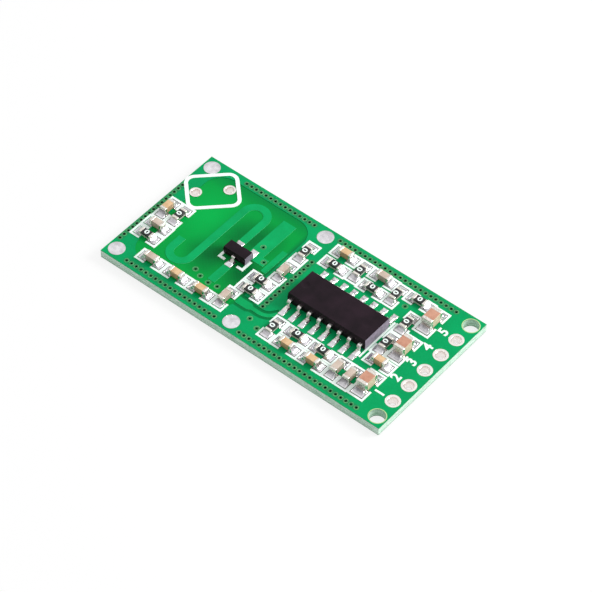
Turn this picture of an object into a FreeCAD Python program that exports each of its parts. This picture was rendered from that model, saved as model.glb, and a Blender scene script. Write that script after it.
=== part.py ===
import FreeCAD, Part
import math
import os
import Sketcher

V = FreeCAD.Vector

# Microwave radar sensor module: a bare circuit board with its surface-mount parts.
# The board's underside is z = 0 and the frame's origin is under the board's centre.
# +X runs along the board to the header holes, +Y to the long edge by the light cell's outline.

SIZES = {
    # Board
    "board_length": 35.9,
    "board_width": 17.3,
    "board_thick": 1.0,
    "copper_step": 0.04,
    "pad_rise": 0.03,
    "silk_thick": 0.02,
    # Window in the ground copper round the antenna
    "window_x": -9.45,
    "window_y": 0.3,
    "window_length": 13.1,
    "window_width": 14.45,
    "window_radius": 2.2,
    # Plain holes for screws
    "mount_hole_radius": 0.85,
    "mount_hole_inset": 1.07,
    "mount_hole_spacing": 15.0,
    # Plated holes
    "header_hole_radius": 0.5,
    "header_pad_radius": 0.8,
    "header_pitch": 2.54,
    "header_count": 5,
    "cell_hole_radius": 0.43,
    "cell_pad_radius": 0.66,
    "cell_hole_spacing": 3.54,
    "cell_x": -14.63,
    "cell_y": 4.93,
    "cell_long": 5.34,
    "cell_wide": 4.5,
    "cell_corner": 0.9,
    "cell_line": 0.42,
    "disc_radius": 0.9,
    "disc_crown_radius": 0.5,
    "disc_dome": 0.14,
    "disc_lip": 0.05,
    "disc_x": -9.25,
    "disc_spacing_long": 15.2,
    "disc_spacing_wide": 14.86,
    # Rows of small vias that stitch the ground copper together
    "via_radius": 0.15,
    "via_pitch": 0.645,
    "via_edge_inset": 0.65,
    "via_side_inset": 0.35,
    "via_column_x": -0.55,
    "via_column_low": -3.87,
    "via_column_count": 13,
    "via_side_low": -6.1,
    "via_side_count": 16,
    "via_antenna_far_x": -12.6,
    "via_antenna_far_count": 15,
    "via_antenna_near_x": -15.0,
    "via_antenna_near_count": 19,
    "via_chip_x": -0.17,
    "via_chip_count": 24,
    # Antenna and the other copper strips in the window
    "antenna_x": -7.7,
    "antenna_line": 0.87,
    "antenna_top": 4.98,
    "antenna_top_turn": 1.32,
    "antenna_low": -3.52,
    "antenna_low_turn": 1.22,
    "antenna_tail": 1.55,
    "stub_left": -6.35,
    "stub_line": 1.65,
    "stub_low": 0.18,
    "stub_top": 6.48,
    "stub_foot_length": 2.38,
    "stub_foot_width": 1.0,
    "emitter_line": 0.9,
    "emitter_length": 2.5,
    "bias_x": -3.47,
    "bias_line": 0.65,
    "bias_low": -0.35,
    "bias_top": 3.18,
    "output_y": -4.75,
    "output_x": -3.1,
    "output_wide": 0.9,
    "output_wide_end": -1.55,
    "output_taper_end": -1.2,
    "output_line": 0.45,
    "output_turn_x": -0.3,
    "output_turn": 1.6,
    "output_turn_angle": 54,
    "output_tail": 0.7,
    "output_clearance": 0.35,
    # Control chip: sixteen gull-wing leads
    "ic_x": 5.93,
    "ic_y": 0.07,
    "ic_length": 9.9,
    "ic_width": 3.9,
    "ic_height": 1.35,
    "ic_standoff": 0.1,
    "ic_draft": 7,
    "ic_dimple_radius": 0.45,
    "ic_dimple_depth": 0.08,
    "ic_dimple_inset": 0.75,
    "ic_pitch": 1.27,
    "ic_side_count": 8,
    "ic_lead_width": 0.41,
    "ic_lead_thick": 0.2,
    "ic_lead_reach": 3.0,
    "ic_lead_bend": 0.2,
    "ic_lead_shoulder": 0.22,
    "ic_pad_start": 2.3,
    "ic_pad_end": 3.72,
    "ic_pad_width": 0.62,
    "ic_solder_height": 0.2,
    # Transistor: three gull-wing leads
    "transistor_x": -6.75,
    "transistor_y": -0.32,
    "transistor_length": 2.9,
    "transistor_width": 1.3,
    "transistor_height": 0.95,
    "transistor_standoff": 0.08,
    "transistor_draft": 8,
    "transistor_pitch": 1.9,
    "transistor_lead_width": 0.42,
    "transistor_lead_thick": 0.12,
    "transistor_lead_reach": 1.22,
    "transistor_lead_bend": 0.12,
    "transistor_lead_shoulder": 0.08,
    "transistor_pad_start": 0.75,
    "transistor_pad_end": 1.75,
    "transistor_pad_width": 0.8,
    "transistor_solder_height": 0.12,
    # Small resistors and capacitors, and their pads
    "small_length": 1.6,
    "small_width": 0.8,
    "resistor_height": 0.5,
    "capacitor_height": 0.8,
    "small_cap_band": 0.32,
    "cap_wall": 0.03,
    "small_pad_start": 0.45,
    "small_pad_end": 1.4,
    "small_pad_width": 1.05,
    "resistor_solder_height": 0.34,
    "capacitor_solder_height": 0.42,
    # Large capacitors and their pads
    "large_length": 2.0,
    "large_width": 1.25,
    "large_height": 1.25,
    "large_cap_band": 0.45,
    "large_pad_start": 0.55,
    "large_pad_end": 1.68,
    "large_pad_width": 1.4,
    "large_solder_height": 0.5,
    # Solder keeps a thin edge where it runs out on the pad and up the part
    "solder_lip": 0.03,
    "solder_margin": 0.06,
    # Printed frames round the parts
    "frame_line": 0.24,
    "frame_gap": 0.07,
    "frame_opening": 0.9,
    "corner_mark_line": 0.3,
    "corner_mark_reach": 1.65,
    "corner_mark_drop": 1.3,
    "corner_mark_height": 1.55,
    "corner_mark_foot": 0.88,
    "end_bar_x": 10.88,
    "end_bar_line": 0.22,
    "end_bar_length": 5.8,
    # Empty pads on the underside for parts that set range, hold time and light level
    "option_x": 9.4,
    "option_y": 0.0,
    "option_pitch": 2.6,
    "option_count": 3,
    # Rows and columns that the small parts stand on
    "top_row": 6.73,
    "upper_row": 4.88,
    "low_row": -6.37,
    "second_row": -4.67,
    "post_row": -5.47,
}

doc = FreeCAD.newDocument("radar_module")
sheet = doc.addObject("Spreadsheet::Sheet", "sizes")

# Small parts: x, y, and a quarter turn where the part lies along Y.
# A place is a number, which becomes a cell of its own, or the name of a row.
RESISTORS = [
    (-14.9, 0.0, 90),
    (-15.7, -4.12, 0),
    (-2.75, -1.47, 0),
    (-2.75, -3.17, 0),
    (-1.8, 4.33, 90),
    (1.6, "upper_row", 0),
    (4.05, 5.88, 90),
    (6.45, "upper_row", 0),
    (8.75, 5.78, 90),
    (11.1, 6.63, 0),
    (11.88, 3.48, 90),
    (11.88, 0.13, 90),
    (2.05, "post_row", 90),
    (4.6, "second_row", 0),
    (7.8, "second_row", 0),
]
CAPACITORS = [
    (-16.5, 0.0, 90),
    (-15.7, -2.47, 0),
    (-13.05, "low_row", 0),
    (-9.75, "low_row", 0),
    (-6.55, "low_row", 0),
    (-4.1, "post_row", 90),
    (-1.8, 0.93, 90),
    (1.6, "top_row", 0),
    (6.45, "top_row", 0),
    (12.95, -2.17, 0),
    (4.6, "low_row", 0),
    (7.8, "low_row", 0),
    (10.25, "post_row", 90),
    (11.85, "post_row", 90),
]
LARGE_CAPACITORS = [
    (13.6, 5.33, 90),
    (13.65, 0.73, 90),
    (13.65, -5.12, 90),
]
SINGLE_VIAS = [
    (-8.95, -4.37),
    (-8.0, -4.77),
    (-6.8, -4.95),
    (-5.75, -4.77),
    (-5.6, 2.28),
    (-4.25, 0.73),
    (10.3, 5.28),
    (0.85, -6.47),
    (-0.5, -5.92),
]


def named_places(kind, places):
    """Gives each number in a list of places a size of its own, and returns the places as expressions."""
    rows = []
    for number, place in enumerate(places, 1):
        where = []
        for axis, value in zip("xy", place):
            name = value
            if not isinstance(value, str):
                name = f"{kind}_{number}_{axis}"
                SIZES[name] = value
            where.append("sizes." + name)
        rows.append((f"{kind}_{number}", *where, *place[2:]))
    return rows


RESISTOR_PLACES = named_places("resistor", RESISTORS)
CAPACITOR_PLACES = named_places("capacitor", CAPACITORS)
LARGE_PLACES = named_places("large_capacitor", LARGE_CAPACITORS)
VIA_PLACES = named_places("single_via", SINGLE_VIAS)

for line, (alias, value) in enumerate(SIZES.items(), 1):
    sheet.set(f"A{line}", alias)
    sheet.set(f"B{line}", str(value))
    sheet.setAlias(f"B{line}", alias)
doc.recompute()


# Levels that several pieces share
TOP = "sizes.board_thick"
FLOOR = "sizes.board_thick - sizes.copper_step"
SEAT = "sizes.board_thick + sizes.pad_rise"
MIDLEVEL = "sizes.board_thick - sizes.copper_step / 2"

# Where holes or pads repeat, they have a few flat sides instead of a round one
VIA_SIDES = 6
RIM_SIDES = 16


def number(expression):
    """The value of an expression of sizes."""
    return float(sheet.evalExpression(expression))


def bind(thing, **expressions):
    """Ties properties of a piece to expressions of sizes, with __ for a dot in a property's name."""
    for name, expression in expressions.items():
        thing.setExpression(name.replace("__", "."), expression)


def body(name):
    """An empty body, which may hold several separate solids of one kind."""
    made = doc.addObject("PartDesign::Body", name)
    made.Label = name
    made.AllowCompound = True
    return made


def plane(owner, role):
    """One of a body's own origin planes or axes."""
    return next(f for f in owner.Origin.OriginFeatures if f.Role == role)


def sketch(owner, name, role="XY_Plane", x="0", y="0", z="0"):
    """A sketch on a body's origin plane, with its own origin moved by x, y and z of that plane."""
    made = owner.newObject("Sketcher::SketchObject", name)
    made.AttachmentSupport = [(plane(owner, role), "")]
    made.MapMode = "FlatFace"
    bind(made, AttachmentOffset__Base__x=x, AttachmentOffset__Base__y=y, AttachmentOffset__Base__z=z)
    return made


def fix(drawing, *parts):
    """Adds a dimension whose last part is an expression of sizes."""
    *where, expression = parts
    index = drawing.addConstraint(Sketcher.Constraint(*where, number(expression)))
    drawing.setExpression(f"Constraints[{index}]", expression)


def hold(drawing, edge, end, x=None, y=None):
    """Fixes a point of an edge at x and y from the sketch's origin."""
    for kind, expression in (("DistanceX", x), ("DistanceY", y)):
        if expression is None:
            continue
        if number(expression) < 0:
            fix(drawing, kind, edge, end, -1, 1, f"-({expression})")
        else:
            fix(drawing, kind, -1, 1, edge, end, expression)


def draw_circle(drawing, radius):
    """A circle about the sketch's origin."""
    index = drawing.addGeometry(Part.Circle(V(), V(0, 0, 1), number(radius)))
    fix(drawing, "Radius", index, radius)
    drawing.addConstraint(Sketcher.Constraint("Coincident", index, 3, -1, 1))


def draw_loop(drawing, points):
    """A closed loop of straight lines through points, each given by two expressions."""
    spots = [V(number(x), number(y), 0) for x, y in points]
    first = drawing.GeometryCount
    count = len(spots)
    for i in range(count):
        drawing.addGeometry(Part.LineSegment(spots[i], spots[(i + 1) % count]))
    for i in range(count):
        following = first + (i + 1) % count
        drawing.addConstraint(Sketcher.Constraint("Coincident", first + i, 2, following, 1))
    for i, (x, y) in enumerate(points):
        hold(drawing, first + i, 1, x, y)


def draw_polygon(drawing, radius, sides):
    """A regular polygon about the sketch's origin, for a round shape that repeats."""
    turn = 360 / sides
    draw_loop(drawing, [(f"{radius} * cos({k * turn})", f"{radius} * sin({k * turn})") for k in range(sides)])


def draw_rectangle(drawing, half_long, half_wide):
    """A rectangle about the sketch's origin."""
    draw_loop(
        drawing,
        [
            (f"-({half_long})", f"-({half_wide})"),
            (half_long, f"-({half_wide})"),
            (half_long, half_wide),
            (f"-({half_long})", half_wide),
        ],
    )


def draw_rounded_rectangle(drawing, half_long, half_wide, radius):
    """A rectangle with round corners about the sketch's origin."""
    long, wide, r = (number(e) for e in (half_long, half_wide, radius))
    first = drawing.GeometryCount
    signs = (("", ""), ("-", ""), ("-", "-"), ("", "-"))
    ends = []
    for quarter, (sx, sy) in enumerate(signs):
        centre = V(float(sx + "1") * (long - r), float(sy + "1") * (wide - r), 0)
        circle = Part.Circle(centre, V(0, 0, 1), r)
        arc = Part.ArcOfCircle(circle, quarter * math.pi / 2, (quarter + 1) * math.pi / 2)
        drawing.addGeometry(arc)
        ends.append((arc.StartPoint, arc.EndPoint))
    for quarter in range(4):
        drawing.addGeometry(Part.LineSegment(ends[quarter][1], ends[(quarter + 1) % 4][0]))
    for quarter, (sx, sy) in enumerate(signs):
        arc = first + quarter
        side = first + 4 + quarter
        following = first + (quarter + 1) % 4
        drawing.addConstraint(Sketcher.Constraint("Tangent", arc, 2, side, 1))
        drawing.addConstraint(Sketcher.Constraint("Tangent", side, 2, following, 1))
        fix(drawing, "Radius", arc, radius)
        hold(drawing, arc, 3, f"{sx}({half_long} - ({radius}))", f"{sy}({half_wide} - ({radius}))")


def draw_path(drawing, start, steps):
    """An open path. A step is ("run", x, y) or ("turn", centre x, centre y, end x, end y, left)."""
    spot = V(number(start[0]), number(start[1]), 0)
    for index, step in enumerate(steps):
        if step[0] == "run":
            x, y = step[1:]
            following = V(number(x), number(y), 0)
            drawing.addGeometry(Part.LineSegment(spot, following))
            last = 2
        else:
            centre_x, centre_y, x, y, left = step[1:]
            centre = V(number(centre_x), number(centre_y), 0)
            following = V(number(x), number(y), 0)
            circle = Part.Circle(centre, V(0, 0, 1), (spot - centre).Length)
            ends = (spot, following) if left else (following, spot)
            drawing.addGeometry(Part.ArcOfCircle(circle, *(circle.parameter(end) for end in ends)))
            hold(drawing, index, 3, centre_x, centre_y)
            last = 2 if left else 1
        if index == 0:
            hold(drawing, 0, 1, *start)
        else:
            begins = 1 if step[0] == "run" or step[5] else 2
            drawing.addConstraint(Sketcher.Constraint("Coincident", index - 1, previous, index, begins))
        if step[0] == "run":
            hold(drawing, index, last, x, y)
        else:
            along_x = abs((following - centre).x) < abs((following - centre).y)
            hold(drawing, index, last, *((x, None) if along_x else (None, y)))
        spot = following
        previous = last


def pad(owner, drawing, length, taper=None, back=False):
    """Raises a sketch by a length, narrowing by a taper angle where one is given."""
    made = owner.newObject("PartDesign::Pad", drawing.Name + "_pad")
    made.Profile = drawing
    made.Reversed = back
    bind(made, Length=length)
    if taper:
        bind(made, TaperAngle=f"-{taper}")
    drawing.Visibility = False
    owner.Tip = made
    return made


def pocket(owner, drawing, depth=None, up=False):
    """Cuts a sketch's shape out, right through where no depth is given."""
    made = owner.newObject("PartDesign::Pocket", drawing.Name + "_pocket")
    made.Profile = drawing
    made.Reversed = up
    if depth is None:
        made.Type = "ThroughAll"
    else:
        bind(made, Length=depth)
    owner.Tip = made
    return made


def row_of(owner, feature, role, count, pitch):
    """Repeats a feature along one of the body's axes."""
    made = owner.newObject("PartDesign::LinearPattern", feature.Name + "_row")
    made.Originals = [feature]
    made.Direction = (plane(owner, role), [""])
    bind(made, Occurrences=count, Length=f"({count} - 1) * {pitch}")
    owner.Tip = made
    return made


def place(thing, x, y, angle=0, along="0", across="0", height="0"):
    """Puts a piece along and across from the point x, y after a turn by whole quarters."""
    quarter = angle % 360 // 90
    dx = (along, f"-({across})", f"-({along})", across)[quarter]
    dy = (across, along, f"-({across})", f"-({along})")[quarter]
    thing.Placement = FreeCAD.Placement(V(), FreeCAD.Rotation(V(0, 0, 1), angle))
    bind(
        thing,
        Placement__Base__x=f"{x} + {dx}",
        Placement__Base__y=f"{y} + {dy}",
        Placement__Base__z=height,
    )
    return thing


def block(name, long, wide, tall):
    """A box with one corner at its own origin."""
    made = doc.addObject("Part::Box", name)
    bind(made, Length=long, Width=wide, Height=tall)
    return made


def group(name, pieces):
    """Several separate pieces of one kind as one sub-part."""
    made = doc.addObject("Part::Compound", name)
    made.Label = name
    made.Links = pieces
    return made


def cut(name, base, tools):
    """A piece less the others that stand in it."""
    made = doc.addObject("Part::Cut", name)
    made.Label = name
    made.Base = base
    made.Tool = tools[0] if len(tools) == 1 else group(name + "_tools", tools)
    return made


def half(expression):
    return f"({expression}) / 2"


# Circuit board: the laminate with its solder mask, at the level of the ground copper


def draw_window(owner, name, z, up):
    """Cuts the antenna's window out of the copper level on one face."""
    window = sketch(owner, name, x="sizes.window_x", y="sizes.window_y", z=z)
    sides = (half("sizes.window_length"), half("sizes.window_width"))
    draw_rounded_rectangle(window, *sides, "sizes.window_radius")
    pocket(owner, window, "sizes.copper_step", up)


def bare_board():
    """The board's slab with its screw holes, via holes and the window on both faces."""
    made = body("bare_board")
    outline = sketch(made, "outline")
    draw_rectangle(outline, half("sizes.board_length"), half("sizes.board_width"))
    pad(made, outline, TOP)

    draw_window(made, "window_over", TOP, False)
    draw_window(made, "window_under", "0", True)

    hole_x = "sizes.board_length / 2 - sizes.mount_hole_inset"
    hole_y = "-sizes.mount_hole_spacing / 2"
    holes = sketch(made, "screw_hole", x=hole_x, y=hole_y, z=TOP)
    draw_circle(holes, "sizes.mount_hole_radius")
    row_of(made, pocket(made, holes), "Y_Axis", "2", "sizes.mount_hole_spacing")

    far = "sizes.board_width / 2 - sizes.via_edge_inset"
    near = f"-({far})"
    side = "sizes.via_side_inset - sizes.board_length / 2"
    rows = (
        ("via_antenna_far", "sizes.via_antenna_far_x", far, "X_Axis"),
        ("via_chip", "sizes.via_chip_x", far, "X_Axis"),
        ("via_antenna_near", "sizes.via_antenna_near_x", near, "X_Axis"),
        ("via_chip", "sizes.via_chip_x", near, "X_Axis"),
        ("via_side", side, "sizes.via_side_low", "Y_Axis"),
        ("via_column", "sizes.via_column_x", "sizes.via_column_low", "Y_Axis"),
    )
    for kind, x, y, axis in rows:
        first = sketch(made, kind, x=x, y=y, z=TOP)
        draw_polygon(first, "sizes.via_radius", VIA_SIDES)
        row_of(made, pocket(made, first), axis, f"sizes.{kind}_count", "sizes.via_pitch")
    return made


# Plated holes and solder-filled pads


def plated_row(name, kind, axis, count, pitch):
    """A row of plated holes, each one ring as wide as its rim from face to face."""
    made = body(name)
    ring = sketch(made, kind + "_ring")
    draw_polygon(ring, f"sizes.{kind}_pad_radius", RIM_SIDES)
    draw_circle(ring, f"sizes.{kind}_hole_radius")
    row_of(made, pad(made, ring, SEAT), axis, count, pitch)
    return made


def header_plating():
    made = plated_row("header_hole_plating", "header", "Y_Axis", "sizes.header_count", "sizes.header_pitch")
    place(
        made,
        "sizes.board_length / 2 - sizes.mount_hole_inset",
        "-(sizes.header_count - 1) * sizes.header_pitch / 2",
    )
    return made


def slanted(thing, along):
    """Places a piece on the light cell's own line, which runs at 45 degrees to the board."""
    thing.Placement = FreeCAD.Placement(V(), FreeCAD.Rotation(V(0, 0, 1), 45))
    bind(
        thing,
        Placement__Base__x=f"sizes.cell_x + ({along}) * cos(45)",
        Placement__Base__y=f"sizes.cell_y + ({along}) * sin(45)",
    )


def cell_plating():
    made = plated_row("photocell_hole_plating", "cell", "X_Axis", "2", "sizes.cell_hole_spacing")
    slanted(made, "-sizes.cell_hole_spacing / 2")
    return made


def tinned_discs():
    """Four round pads, each filled with solder from the underside to a low dome on top."""
    made = body("tinned_discs")
    filling = sketch(made, "disc_filling")
    draw_polygon(filling, "sizes.disc_radius", RIM_SIDES)
    filled = pad(made, filling, f"{TOP} + sizes.disc_lip")
    crown = sketch(made, "disc_crown", z=f"{TOP} + sizes.disc_dome")
    draw_polygon(crown, "sizes.disc_crown_radius", RIM_SIDES)
    edge = sketch(made, "disc_edge", z=f"{TOP} + sizes.disc_lip")
    draw_polygon(edge, "sizes.disc_radius", RIM_SIDES)
    dome = made.newObject("PartDesign::AdditiveLoft", "disc_dome")
    dome.Profile = edge
    dome.Sections = [crown]
    dome.Ruled = True
    corners = row_of(made, filled, "X_Axis", "2", "sizes.disc_spacing_long")
    corners.Originals = [filled, dome]
    corners.Direction2 = (plane(made, "Y_Axis"), [""])
    bind(corners, Occurrences2="2", Length2="sizes.disc_spacing_wide")
    place(made, "sizes.disc_x - sizes.disc_spacing_long / 2", "-sizes.disc_spacing_wide / 2")
    return made


# Strips of copper that lie on the window's floor


def strip_section(section, line):
    """The cross-section of a copper strip, in a sketch that stands across the strip."""
    draw_rectangle(section, half(line), half("sizes.copper_step"))
    return section


def swept(owner, section, path):
    """Sweeps a section along a path."""
    made = owner.newObject("PartDesign::AdditivePipe", path.Name + "_sweep")
    made.Profile = section
    made.Spine = path
    owner.Tip = made
    return made


def antenna_trace():
    """The microwave antenna: one strip in an S with two round turns, from the transistor's pad."""
    made = body("antenna_trace")
    x = "sizes.antenna_x"
    start = "sizes.transistor_y + sizes.transistor_pad_end"
    top = "sizes.antenna_top"
    low = "sizes.antenna_low"
    middle = f"{x} - 2 * sizes.antenna_top_turn"
    last = f"{middle} - 2 * sizes.antenna_low_turn"
    section = sketch(made, "antenna_section", "XZ_Plane", x=x, y=MIDLEVEL, z=f"-({start})")
    strip_section(section, "sizes.antenna_line")
    path = sketch(made, "antenna_path", z=MIDLEVEL)
    steps = [
        ("run", x, top),
        ("turn", f"{x} - sizes.antenna_top_turn", top, middle, top, True),
        ("run", middle, low),
        ("turn", f"{middle} - sizes.antenna_low_turn", low, last, low, False),
        ("run", last, f"{low} + sizes.antenna_tail"),
    ]
    draw_path(path, (x, start), steps)
    swept(made, section, path)
    return made


def plain_strip(name, x, low, wide, long):
    """A straight strip of copper along Y, by the middle of its low end."""
    made = block(name + "_strip", wide, long, "sizes.copper_step")
    return place(made, x, low, along=f"-({wide}) / 2", height=FLOOR)


def stub_strip():
    """The wide open-ended stub, with a foot that reaches aside from the transistor's pad."""
    made = body("stub_strip")
    outline = sketch(made, "stub_outline", z=FLOOR)
    left = "sizes.stub_left"
    foot_right = f"{left} + sizes.stub_foot_length"
    right = f"{left} + sizes.stub_line"
    low = "sizes.stub_low"
    foot_top = f"{low} + sizes.stub_foot_width"
    top = "sizes.stub_top"
    corners = [(left, low), (foot_right, low), (foot_right, foot_top)]
    corners += [(right, foot_top), (right, top), (left, top)]
    draw_loop(outline, corners)
    pad(made, outline, "sizes.copper_step")
    return made


def output_strip(name, clearance="0"):
    """The output strip, wide and then narrow, that turns up to the chip's first lead, or the gap round it."""
    made = body(name)
    y = "sizes.output_y"
    wide = f"sizes.output_wide / 2 + {clearance}"
    narrow = f"sizes.output_line / 2 + {clearance}"
    start = "sizes.output_x"
    wide_end = "sizes.output_wide_end"
    narrow_start = "sizes.output_taper_end"
    outline = sketch(made, name + "_outline", y=y, z=FLOOR)
    corners = [(start, f"-({wide})"), (wide_end, f"-({wide})"), (narrow_start, f"-({narrow})")]
    corners += [(narrow_start, narrow), (wide_end, wide), (start, wide)]
    draw_loop(outline, corners)
    pad(made, outline, "sizes.copper_step")
    section = sketch(made, name + "_section", "YZ_Plane", x=y, y=MIDLEVEL, z=narrow_start)
    strip_section(section, f"2 * ({narrow})")
    path = sketch(made, name + "_path", z=MIDLEVEL)
    bend = "sizes.output_turn"
    angle = "sizes.output_turn_angle"
    bend_x = f"sizes.output_turn_x + {bend} * sin({angle})"
    bend_y = f"{y} + {bend} * (1 - cos({angle}))"
    tail_x = f"{bend_x} + sizes.output_tail * cos({angle})"
    tail_y = f"{bend_y} + sizes.output_tail * sin({angle})"
    steps = [
        ("run", "sizes.output_turn_x", y),
        ("turn", "sizes.output_turn_x", f"{y} + {bend}", bend_x, bend_y, True),
        ("run", tail_x, tail_y),
    ]
    draw_path(path, (narrow_start, y), steps)
    swept(made, section, path)
    return made


# Moulded packages and their leads


def gull_wing(owner, name, kind, x, mirrored=False):
    """One lead with bevelled bends: out of the moulding, down, and out along the pad."""
    thick = f"sizes.{kind}_lead_thick"
    bend = f"sizes.{kind}_lead_bend"
    corner = f"{thick} / 2 * tan(22.5)"
    root = f"sizes.{kind}_width / 2"
    level = f"sizes.{kind}_standoff + sizes.{kind}_height / 2"
    shoulder = f"{root} + sizes.{kind}_lead_shoulder"
    drop = f"{shoulder} + {bend}"
    ankle = f"{drop} + {bend}"
    knee = f"{level} - {bend}"
    heel = f"{thick} / 2 + {bend}"
    reach = f"sizes.{kind}_lead_reach"
    upper = [
        (root, f"{level} + {thick} / 2"),
        (f"{shoulder} + {corner}", f"{level} + {thick} / 2"),
        (f"{drop} + {thick} / 2", f"{knee} + {corner}"),
        (f"{drop} + {thick} / 2", f"{heel} + {corner}"),
        (f"{ankle} + {corner}", thick),
        (reach, thick),
    ]
    lower = [
        (reach, "0"),
        (f"{ankle} - {corner}", "0"),
        (f"{drop} - {thick} / 2", f"{heel} - {corner}"),
        (f"{drop} - {thick} / 2", f"{knee} - {corner}"),
        (f"{shoulder} - {corner}", f"{level} - {thick} / 2"),
        (root, f"{level} - {thick} / 2"),
    ]
    side = "-" if mirrored else ""
    profile = sketch(owner, name, "YZ_Plane", z=f"{x} - sizes.{kind}_lead_width / 2")
    draw_loop(profile, [(f"{side}({y})", z) for y, z in upper + lower])
    return pad(owner, profile, f"sizes.{kind}_lead_width")


def moulding(name, kind):
    """A moulded package: a straight band where the leads come out, and drafted halves over and under it."""
    made = body(name)
    level = f"sizes.{kind}_standoff + sizes.{kind}_height / 2"
    band = f"sizes.{kind}_lead_thick"
    rise = f"(sizes.{kind}_height - {band}) / 2"
    sides = (half(f"sizes.{kind}_length"), half(f"sizes.{kind}_width"))
    middle = sketch(made, name + "_band", z=f"{level} - {band} / 2")
    draw_rectangle(middle, *sides)
    pad(made, middle, band)
    upper = sketch(made, name + "_upper", z=f"{level} + {band} / 2")
    draw_rectangle(upper, *sides)
    pad(made, upper, rise, f"sizes.{kind}_draft")
    lower = sketch(made, name + "_lower", z=f"{level} - {band} / 2")
    draw_rectangle(lower, *sides)
    pad(made, lower, rise, f"sizes.{kind}_draft", back=True)
    return place(made, f"sizes.{kind}_x", f"sizes.{kind}_y", height=SEAT)


def ic_moulding():
    made = moulding("ic_body", "ic")
    top = "sizes.ic_standoff + sizes.ic_height"
    dimple = sketch(made, "dimple", x="sizes.ic_dimple_inset - sizes.ic_length / 2", z=top)
    draw_circle(dimple, "sizes.ic_dimple_radius")
    pocket(made, dimple, "sizes.ic_dimple_depth")
    return made


def ic_lead_set():
    """Eight gull-wing leads along each long side."""
    made = body("ic_leads")
    first_x = "-(sizes.ic_side_count - 1) * sizes.ic_pitch / 2"
    for name, near in (("far_lead", False), ("near_lead", True)):
        lead = gull_wing(made, name, "ic", first_x, near)
        row_of(made, lead, "X_Axis", "sizes.ic_side_count", "sizes.ic_pitch")
    place(made, "sizes.ic_x", "sizes.ic_y", height=SEAT)
    return made


def transistor_lead_set():
    """Two leads on the antenna's side and one on the other."""
    made = body("transistor_leads")
    pair = gull_wing(made, "pair_lead", "transistor", "-sizes.transistor_pitch / 2")
    row_of(made, pair, "X_Axis", "2", "sizes.transistor_pitch")
    gull_wing(made, "single_lead", "transistor", "0", mirrored=True)
    place(made, "sizes.transistor_x", "sizes.transistor_y", height=SEAT)
    return made


# Pads, solder and the small parts, each in a frame of its own: along the part, across it, and up


def end_pad(name, x, y, angle, start, end, wide, across="0"):
    """A tinned pad between two distances from the point x, y, on the window's floor or on the mask."""
    made = block(name + "_pad", f"{end} - {start}", wide, "sizes.pad_rise")
    place(made, x, y, angle, start, f"{across} - {wide} / 2", TOP)
    turn = FreeCAD.Rotation(V(0, 0, 1), angle)
    middle = turn.multVec(V(number(f"({start} + {end}) / 2"), number(across), 0)) + V(number(x), number(y), 0)
    off_x = abs(middle.x - number("sizes.window_x"))
    off_y = abs(middle.y - number("sizes.window_y"))
    if off_x < number("sizes.window_length / 2") and off_y < number("sizes.window_width / 2"):
        bind(made, Height="sizes.copper_step + sizes.pad_rise", Placement__Base__z=FLOOR)
    return made


def solder(name, x, y, angle, start, end, wide, tall, across="0"):
    """Solder that slopes from the end of a part or lead to a thin edge on its pad."""
    made = doc.addObject("Part::Wedge", name + "_solder")
    made.Xmin = made.Ymin = made.Zmin = made.X2min = made.Z2min = 0
    bind(made, Xmax=wide, X2max=wide, Ymax=f"{end} - {start}", Zmax=tall, Z2max="sizes.solder_lip")
    return place(made, x, y, angle - 90, f"-({across}) - ({wide}) / 2", start, SEAT)


def frame_print(name, x, y, angle, reach, wide):
    """The printed frame round a small part, open in the middle of both long sides."""
    line = "sizes.frame_line"
    gap = "sizes.frame_gap"
    deep = "sizes.copper_step + sizes.silk_thick"
    inside = (f"{reach} + {gap}", f"{wide} / 2 + {gap}")
    outside = (f"{inside[0]} + {line}", f"{inside[1]} + {line}")
    made = None
    opening = ("sizes.frame_opening / 2", outside[1])
    for role, (long, side) in (("outside", outside), ("inside", inside), ("opening", opening)):
        slab = block(f"{name}_{role}", f"2 * ({long})", f"2 * ({side})", deep)
        place(slab, x, y, angle, f"-({long})", f"-({side})", FLOOR)
        made = cut(f"{name}_less_{role}", made, [slab]) if made else slab
    return made


def small_part(name, x, y, angle, kind, size):
    """A two-ended part: its ceramic block, two end caps, pads, solder and printed frame."""
    wall = "sizes.cap_wall"
    long, wide = f"sizes.{size}_length", f"sizes.{size}_width"
    tall = f"sizes.{kind}_height"
    band = f"sizes.{size}_cap_band"
    core = block(name, f"{long} - 2 * {band}", f"{wide} - 2 * {wall}", f"{tall} - 2 * {wall}")
    core.Label = name
    place(core, x, y, angle, f"{band} - {long} / 2", f"{wall} - {wide} / 2", f"{SEAT} + {wall}")
    pad_start, pad_end = f"sizes.{size}_pad_start", f"sizes.{size}_pad_end"
    pad_wide = f"sizes.{size}_pad_width"
    rise = f"sizes.{kind}_solder_height"
    run_out = f"{pad_end} - sizes.solder_margin"
    spread = f"{pad_wide} - 2 * sizes.solder_margin"
    caps, pads, joints = [], [], []
    for end, turn in (("near", angle + 180), ("far", angle)):
        label = f"{name}_{end}"
        cap = block(label + "_cap", band, wide, tall)
        caps.append(place(cap, x, y, turn, f"{long} / 2 - {band}", f"-{wide} / 2", SEAT))
        pads.append(end_pad(label, x, y, turn, pad_start, pad_end, pad_wide))
        joints.append(solder(label, x, y, turn, f"{long} / 2", run_out, spread, rise))
    frame = frame_print(name + "_frame", x, y, angle, pad_end, pad_wide)
    return core, caps, pads, joints, frame


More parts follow.
